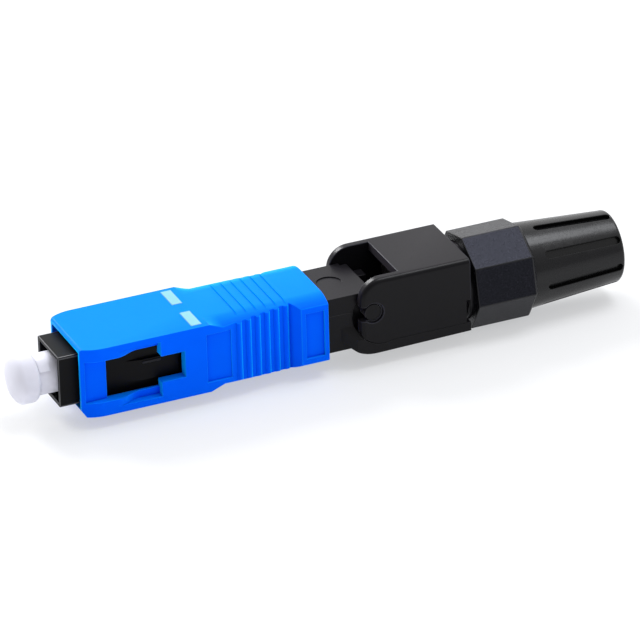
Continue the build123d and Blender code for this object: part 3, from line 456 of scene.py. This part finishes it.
def wind(shape: bmesh.types.BMesh, angle: float, steps: int, advance: float, sides: int) -> None:
    """Wind a closed section round the X axis into a solid helix.

    Args:
        shape: Holds the section, and then the helix.
        angle: How far it winds, in radians.
        steps: Number of steps.
        advance: How far each step goes along X.
        sides: Number of the section's sides.
    """
    bmesh.ops.spin(
        shape,
        geom=list(shape.verts) + list(shape.edges),
        cent=(0.0, 0.0, 0.0),
        axis=(1.0, 0.0, 0.0),
        dvec=(advance, 0.0, 0.0),
        angle=angle,
        steps=steps,
        use_merge=False,
        use_duplicate=False,
    )
    bmesh.ops.holes_fill(shape, edges=shape.edges, sides=sides)
    bmesh.ops.recalc_face_normals(shape, faces=shape.faces)


@dataclass
class Studio:
    """Camera, table and lamps.

    Attributes:
        yaw: Turn of the view about Z, in radians, as the next two.
        pitch: How far the camera looks down.
        roll: Turn of the view about its own axis.
        focal_px: Focal length in pixels of the picture.
        across_mm: Place of the camera along the view's right.
        above_mm: Place of the camera along the view's upright.
        away_mm: Place of the camera along the line of sight.
        picture_px: Width of the picture.
    """

    yaw: float = 0.39578488
    pitch: float = 0.48140571
    roll: float = -0.03014228
    focal_px: float = 7185.582
    across_mm: float = 24.63417
    above_mm: float = 4.62770
    away_mm: float = 696.98896
    picture_px: int = 640
    sensor_mm: float = 36.0
    nearest: float = 0.01
    furthest: float = 20.0
    room_toward: Triple = (0.6, 0.6, 0.53)
    room_from: float = -0.6
    room_to: float = 1.0
    room_dark: float = 0.4
    room_bright: float = 1.2
    soft_energy: float = 1.6
    soft_deg: float = 30.0
    soft_toward: Triple = (0.34, 0.0, 1.0)
    soft_colour: Triple = (0.94, 0.96, 1.0)
    key_energy: float = 2.9
    key_deg: float = 24.0
    key_toward: Triple = (-0.25, 1.0, 0.72)
    key_colour: Triple = (1.0, 1.0, 1.0)
    table_half: float = 1.5
    table_x: float = 0.03
    table_white: float = 0.84
    table_share: float = 0.34
    table_glow: float = 0.52
    glow_colour: Colour = (0.97, 0.98, 1.0, 1.0)

    def camera(self) -> None:
        """Place the camera where the photograph was taken from."""
        back = Vector(
            (
                -math.sin(self.yaw) * math.cos(self.pitch),
                -math.cos(self.yaw) * math.cos(self.pitch),
                math.sin(self.pitch),
            )
        )
        level = Vector((math.cos(self.yaw), -math.sin(self.yaw), 0.0))
        upright = back.cross(level)
        right = math.cos(self.roll) * level + math.sin(self.roll) * upright
        up = -math.sin(self.roll) * level + math.cos(self.roll) * upright
        place = (right * self.across_mm + up * self.above_mm + back * self.away_mm) * MM
        data = bpy.data.cameras.new("camera")
        data.sensor_width = self.sensor_mm
        data.lens = self.focal_px * data.sensor_width / self.picture_px
        data.clip_start = self.nearest
        data.clip_end = self.furthest
        camera = bpy.data.objects.new("camera", data)
        camera.matrix_world = Matrix(
            (
                (right.x, up.x, back.x, place.x),
                (right.y, up.y, back.y, place.y),
                (right.z, up.z, back.z, place.z),
                (0.0, 0.0, 0.0, 1.0),
            )
        )
        bpy.context.scene.collection.objects.link(camera)
        bpy.context.scene.camera = camera

    def paper(self) -> bpy.types.Material:
        """Make the table's paper, which the camera and mirror light see as white with its shadow.

        Returns:
            The material.
        """
        made = bpy.data.materials.new("table_paper")
        made.use_nodes = True
        tree = made.node_tree
        tree.nodes.clear()
        matt = add_node(
            tree,
            "ShaderNodeBsdfDiffuse",
            values={"Color": (self.table_white, self.table_white, self.table_white, 1.0)},
        )
        seen = add_node(
            tree,
            "ShaderNodeBsdfDiffuse",
            values={"Color": (self.table_share, self.table_share, self.table_share, 1.0)},
        )
        glow = add_node(
            tree,
            "ShaderNodeEmission",
            values={"Color": self.glow_colour, "Strength": self.table_glow},
        )
        both = add_node(tree, "ShaderNodeAddShader", links={0: seen.outputs[0], 1: glow.outputs[0]})
        path = add_node(tree, "ShaderNodeLightPath")
        shown = path.outputs["Is Camera Ray"]
        for kind in ("Is Glossy Ray", "Is Transmission Ray"):
            either = add_node(
                tree,
                "ShaderNodeMath",
                {"operation": "MAXIMUM"},
                links={0: shown, 1: path.outputs[kind]},
            )
            shown = either.outputs[0]
        pick = add_node(
            tree,
            "ShaderNodeMixShader",
            links={0: shown, 1: matt.outputs[0], 2: both.outputs[0]},
        )
        add_node(tree, "ShaderNodeOutputMaterial", links={"Surface": pick.outputs[0]})
        return made

    def table(self, height: float) -> None:
        """Lay the pale table under the connector.

        Args:
            height: Level of the table's top.
        """
        shape = bmesh.new()
        bmesh.ops.create_grid(shape, x_segments=2, y_segments=2, size=self.table_half)
        bmesh.ops.translate(shape, vec=(self.table_x, 0.0, height), verts=shape.verts)
        table = add_piece("table", shape, ())
        table.data.materials.append(self.paper())
        table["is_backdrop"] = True

    def room(self) -> None:
        """Set the soft light of the room, which is brighter behind and above the connector."""
        world = bpy.data.worlds.new("room")
        bpy.context.scene.world = world
        world.use_nodes = True
        tree = world.node_tree
        backdrop = tree.nodes["Background"]
        backdrop.inputs["Strength"].default_value = 1.0
        aim = add_node(tree, "ShaderNodeTexCoord")
        toward = add_node(
            tree,
            "ShaderNodeVectorMath",
            {"operation": "DOT_PRODUCT"},
            {1: Vector(self.room_toward).normalized()},
            {0: aim.outputs["Generated"]},
        )
        ramp = add_node(
            tree,
            "ShaderNodeMapRange",
            {"interpolation_type": "SMOOTHSTEP"},
            {
                "From Min": self.room_from,
                "From Max": self.room_to,
                "To Min": self.room_dark,
                "To Max": self.room_bright,
            },
            {"Value": toward.outputs["Value"]},
        )
        tree.links.new(ramp.outputs["Result"], backdrop.inputs["Color"])

    def lamp(self, name: str, energy: float, spread_deg: float, toward: Triple, colour: Triple) -> None:
        """Hang one broad, far lamp.

        Args:
            name: Name of the lamp.
            energy: Strength of its light.
            spread_deg: How wide it looks from the connector.
            toward: Direction from the connector to the lamp.
            colour: Colour of its light.
        """
        data = bpy.data.lights.new(name, "SUN")
        data.energy = energy
        data.angle = math.radians(spread_deg)
        data.color = colour
        lamp = bpy.data.objects.new(name, data)
        lamp.rotation_euler = Vector(toward).normalized().to_track_quat("Z", "Y").to_euler()
        bpy.context.scene.collection.objects.link(lamp)

    def build(self, height: float) -> None:
        """Set up the whole studio.

        Args:
            height: Level of the table's top.
        """
        bpy.context.scene.view_settings.view_transform = "Standard"
        self.camera()
        self.table(height)
        self.room()
        self.lamp("key", self.key_energy, self.key_deg, self.key_toward, self.key_colour)
        self.lamp("overhead", self.soft_energy, self.soft_deg, self.soft_toward, self.soft_colour)


@dataclass
class Shell:
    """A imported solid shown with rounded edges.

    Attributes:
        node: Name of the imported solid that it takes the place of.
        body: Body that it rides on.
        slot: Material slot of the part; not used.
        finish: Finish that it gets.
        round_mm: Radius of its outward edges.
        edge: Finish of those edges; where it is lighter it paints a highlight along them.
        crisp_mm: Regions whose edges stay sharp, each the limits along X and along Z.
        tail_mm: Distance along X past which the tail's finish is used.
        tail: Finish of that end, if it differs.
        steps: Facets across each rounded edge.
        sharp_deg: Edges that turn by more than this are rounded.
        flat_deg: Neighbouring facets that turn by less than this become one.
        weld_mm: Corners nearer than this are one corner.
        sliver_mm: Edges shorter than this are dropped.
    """

    node: str
    body: str
    slot: str
    finish: Finish
    round_mm: float
    edge: Finish
    crisp_mm: tuple[tuple[float, float, float, float], ...] = ()
    tail_mm: float = 0.0
    tail: Finish | None = None
    steps: int = 3
    sharp_deg: float = 28.0
    flat_deg: float = 0.8
    weld_mm: float = 0.002
    sliver_mm: float = 0.001

    def stays_crisp(self, edge: bmesh.types.BMEdge) -> bool:
        """Tell whether an edge lies in one of the regions that stay sharp.

        Args:
            edge: Edge of the copied solid.

        Returns:
            True where the edge is left as it is.
        """
        middle = (edge.verts[0].co + edge.verts[1].co) / (2.0 * MM)
        return any(
            start < middle.x < end and low < middle.z < high for start, end, low, high in self.crisp_mm
        )

    def merged_copy(self, source: bpy.types.Object) -> bmesh.types.BMesh:
        """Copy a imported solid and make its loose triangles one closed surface.

        Args:
            source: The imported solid.

        Returns:
            The copy.
        """
        shape = bmesh.new()
        shape.from_mesh(source.data)
        shape.transform(source.matrix_world)
        bmesh.ops.remove_doubles(shape, verts=shape.verts, dist=self.weld_mm * MM)
        bmesh.ops.dissolve_degenerate(shape, dist=self.sliver_mm * MM, edges=shape.edges)
        bmesh.ops.dissolve_limit(
            shape, angle_limit=math.radians(self.flat_deg), verts=shape.verts, edges=shape.edges
        )
        return shape

    def build(self, solids: dict[str, bpy.types.Object]) -> bpy.types.Object:
        """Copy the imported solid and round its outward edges.

        Args:
            solids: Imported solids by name.

        Returns:
            The new piece.
        """
        shape = self.merged_copy(solids[self.node])
        limit = math.radians(self.sharp_deg)
        corners = [
            edge
            for edge in shape.edges
            if len(edge.link_faces) == 2
            and edge.is_convex
            and edge.calc_face_angle(0.0) > limit
            and not self.stays_crisp(edge)
        ]
        rounded = bmesh.ops.bevel(
            shape,
            geom=corners,
            offset=self.round_mm * MM,
            offset_type="OFFSET",
            segments=self.steps,
            profile=0.5,
            affect="EDGES",
            clamp_overlap=False,
            material=-1,
        )
        # Rounded strips take the edge finish: a lighter one is a painted highlight
        strips = set(rounded["faces"])
        for face in shape.faces:
            face.smooth = True
            face.material_index = int(face in strips)
        for edge in shape.edges:
            if len(edge.link_faces) != 2:
                edge.smooth = False
                continue
            crossing = sum(face in strips for face in edge.link_faces) == 1
            edge.smooth = not crossing and edge.calc_face_angle(0.0) < limit
        finishes = (self.finish, self.edge)
        if self.tail is not None:
            finishes += (self.tail,)
        piece = add_piece(self.node + "_shell", shape, finishes)
        if self.tail is not None:
            for polygon in piece.data.polygons:
                if polygon.center.x > self.tail_mm * MM:
                    polygon.material_index = 2
        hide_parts(self.node)
        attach(piece, self.body)
        LOG.info("rounded %s: %d corners, %d faces", self.node, len(corners), len(piece.data.polygons))
        return piece


SHELLS = (
    Shell("dust_cap", "cap", "cap_white", CAP_WHITE, 0.06, CAP_WHITE),
    Shell(
        "outer_housing",
        "housing",
        "housing_blue",
        HOUSING_BLUE,
        0.06,
        BLUE_EDGE_HIGHLIGHT,
        ((16.0, 22.6, 3.3, 3.9),),
    ),
    Shell(
        "plug_frame",
        "body",
        "body_black",
        FRAME_BLACK,
        0.07,
        WORN_EDGE_AND_HIGHLIGHT,
        ((4.9, 10.6, -1.6, 0.9),),
    ),
    Shell(
        "main_body",
        "body",
        "body_black",
        BODY_BLACK,
        0.06,
        BLACK_EDGE_HIGHLIGHT,
        ((26.4, 29.4, 2.7, 2.95), (27.3, 29.6, -3.4, -0.4), (41.0, 47.2, -4.2, 4.2)),
    ),
    Shell(
        "flip_cover",
        "cover",
        "body_black",
        BODY_BLACK,
        0.08,
        COVER_EDGE_HIGHLIGHT,
        ((28.0, 42.0, -2.6, -1.0),),
    ),
    Shell("tail_nut", "nut", "nut_black", NUT_BLACK, 0.08, BLACK_EDGE_HIGHLIGHT, tail_mm=48.37, tail=BOOT_BLACK),
)


@dataclass
class Thread:
    """Screw thread that winds round the body's spigot."""

    start_mm: float = 41.32
    end_mm: float = 46.7
    pitch_mm: float = 0.75
    root_mm: float = 3.85
    crest_mm: float = 3.94
    crest_half_mm: float = 0.08
    root_share: float = 0.3
    steps_per_turn: int = 64

    def build(self) -> bpy.types.Object:
        """Wind the ridge's profile into a helix.

        Returns:
            The new piece.
        """
        turns = (self.end_mm - self.start_mm) / self.pitch_mm
        half = self.root_share * self.pitch_mm
        profile = (
            (-half, self.root_mm),
            (-self.crest_half_mm, self.crest_mm),
            (self.crest_half_mm, self.crest_mm),
            (half, self.root_mm),
        )
        shape = bmesh.new()
        corners = [shape.verts.new(Vector((self.start_mm + x, 0.0, z)) * MM) for x, z in profile]
        for index in range(len(corners)):
            shape.edges.new((corners[index - 1], corners[index]))
        wind(
            shape,
            angle=turns * math.tau,
            steps=round(turns * self.steps_per_turn),
            advance=self.pitch_mm * MM / self.steps_per_turn,
            sides=len(corners),
        )
        # The thread uses the lighter black of the painted edge highlight all over
        piece = add_piece("spigot_thread", shape, (BLACK_EDGE_HIGHLIGHT,))
        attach(piece, "body")
        LOG.info("wound the spigot's thread: %.1f turns", turns)
        return piece


@dataclass
class CatchBar:
    """Thin raised bar on the catch of the plug frame, on one side.

    Attributes:
        name: Name of the piece.
        side: Minus one for the near side, one for the far side.
    """

    name: str
    side: int
    start_mm: float = 6.75
    end_mm: float = 8.65
    low_mm: float = 0.32
    high_mm: float = 0.58
    root_mm: float = 3.02
    crest_mm: float = 3.19
    round_mm: float = 0.06
    steps: int = 3

    def build(self) -> bpy.types.Object:
        """Make the bar with rounded edges.

        Returns:
            The new piece.
        """
        length = self.end_mm - self.start_mm
        rise = self.crest_mm - self.root_mm
        height = self.high_mm - self.low_mm
        middle = (
            (self.start_mm + self.end_mm) / 2.0,
            self.side * (self.root_mm + self.crest_mm) / 2.0,
            (self.low_mm + self.high_mm) / 2.0,
        )
        shape = bmesh.new()
        bmesh.ops.create_cube(shape, size=1.0)
        bmesh.ops.scale(shape, vec=Vector((length, rise, height)) * MM, verts=shape.verts)
        bmesh.ops.translate(shape, vec=Vector(middle) * MM, verts=shape.verts)
        bmesh.ops.bevel(
            shape,
            geom=shape.edges,
            offset=self.round_mm * MM,
            offset_type="OFFSET",
            segments=self.steps,
            profile=0.5,
            affect="EDGES",
            material=-1,
        )
        # The bar uses the lighter black of the painted edge highlight all over
        piece = add_piece(self.name, shape, (BLACK_EDGE_HIGHLIGHT,))
        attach(piece, "body")
        LOG.info("made %s", self.name)
        return piece


@dataclass
class CoilSpring:
    """Wire spring behind the ferrule's flange; the real one shortens as the ferrule is pushed back,
    while this coil rides on the body at one length.
    """

    node: str = "ferrule_spring"
    joint: str = "ferrule_float"
    travel_mm: float = 1.0
    wire_mm: float = 0.15
    turns: int = 5
    steps_per_turn: int = 48
    facets: int = 16

    def build(self) -> bpy.types.Object:
        """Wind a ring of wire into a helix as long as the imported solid.

        Returns:
            The new piece.
        """
        low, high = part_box(self.node)
        wire = self.wire_mm * MM
        length = high[0] - low[0] - 2.0 * wire
        steps = self.turns * self.steps_per_turn
        shape = bmesh.new()
        bmesh.ops.create_circle(shape, segments=self.facets, radius=wire)
        bmesh.ops.translate(shape, vec=(low[0] + wire, high[1] - wire, 0.0), verts=shape.verts)
        wind(shape, angle=self.turns * math.tau, steps=steps, advance=length / steps, sides=self.facets)
        for face in shape.faces:
            face.smooth = len(face.verts) == 4
        piece = add_piece("ferrule_spring_coil", shape, (SPRING_STEEL,))
        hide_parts(self.node)
        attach(piece, "body")
        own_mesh(piece)
        LOG.info("wound the ferrule's spring: %d turns over %.2f mm", self.turns, length / MM)
        return piece


@dataclass
class Dressing:
    """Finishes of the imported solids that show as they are."""

    nodes: dict[str, bpy.types.Object]

    def dress(self, node: str, finish: Finish) -> None:
        """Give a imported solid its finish.

        Args:
            node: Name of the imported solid.
            finish: Finish that it gets.
        """
        solid = self.nodes[node]
        made = finish.material()
        if not solid.material_slots:
            solid.data.materials.append(made)
        for slot in solid.material_slots:
            slot.material = made
        LOG.info("dressed %s in %s", node, finish.name)

    def build(self) -> None:
        """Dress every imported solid."""
        finishes = {
            "position_mark_near": MARK_WHITE,
            "position_mark_far": MARK_WHITE,
            "ferrule": ZIRCONIA,
            "ferrule_holder": NICKEL_STEEL,
            "fibre_stub": FIBRE_GLASS,
            "splice_base": SPLICE_RESIN,
            "splice_front_lid": SPLICE_RESIN,
            "splice_rear_lid": SPLICE_RESIN,
            "splice_clip": SPRING_STEEL,
            "fibre_guide": GUIDE_PLASTIC,
            "lower_jaw": NICKEL_STEEL,
            "upper_jaw": NICKEL_STEEL,
            "cable_collet": COLLET_PLASTIC,
        }
        for node, finish in finishes.items():
            self.dress(node, finish)


def main() -> None:
    """Build the scene."""
    logging.basicConfig(level=logging.INFO, format="%(message)s")
    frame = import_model()
    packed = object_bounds()
    Studio().build(packed[0][2])
    for shell in SHELLS:
        shell.build(frame["nodes"])
    Thread().build()
    CoilSpring().build()
    for bar in (CatchBar("catch_bar_near", -1), CatchBar("catch_bar_far", 1)):
        bar.build()
    Dressing(frame["nodes"]).build()


if __name__ == "__main__":
    main()
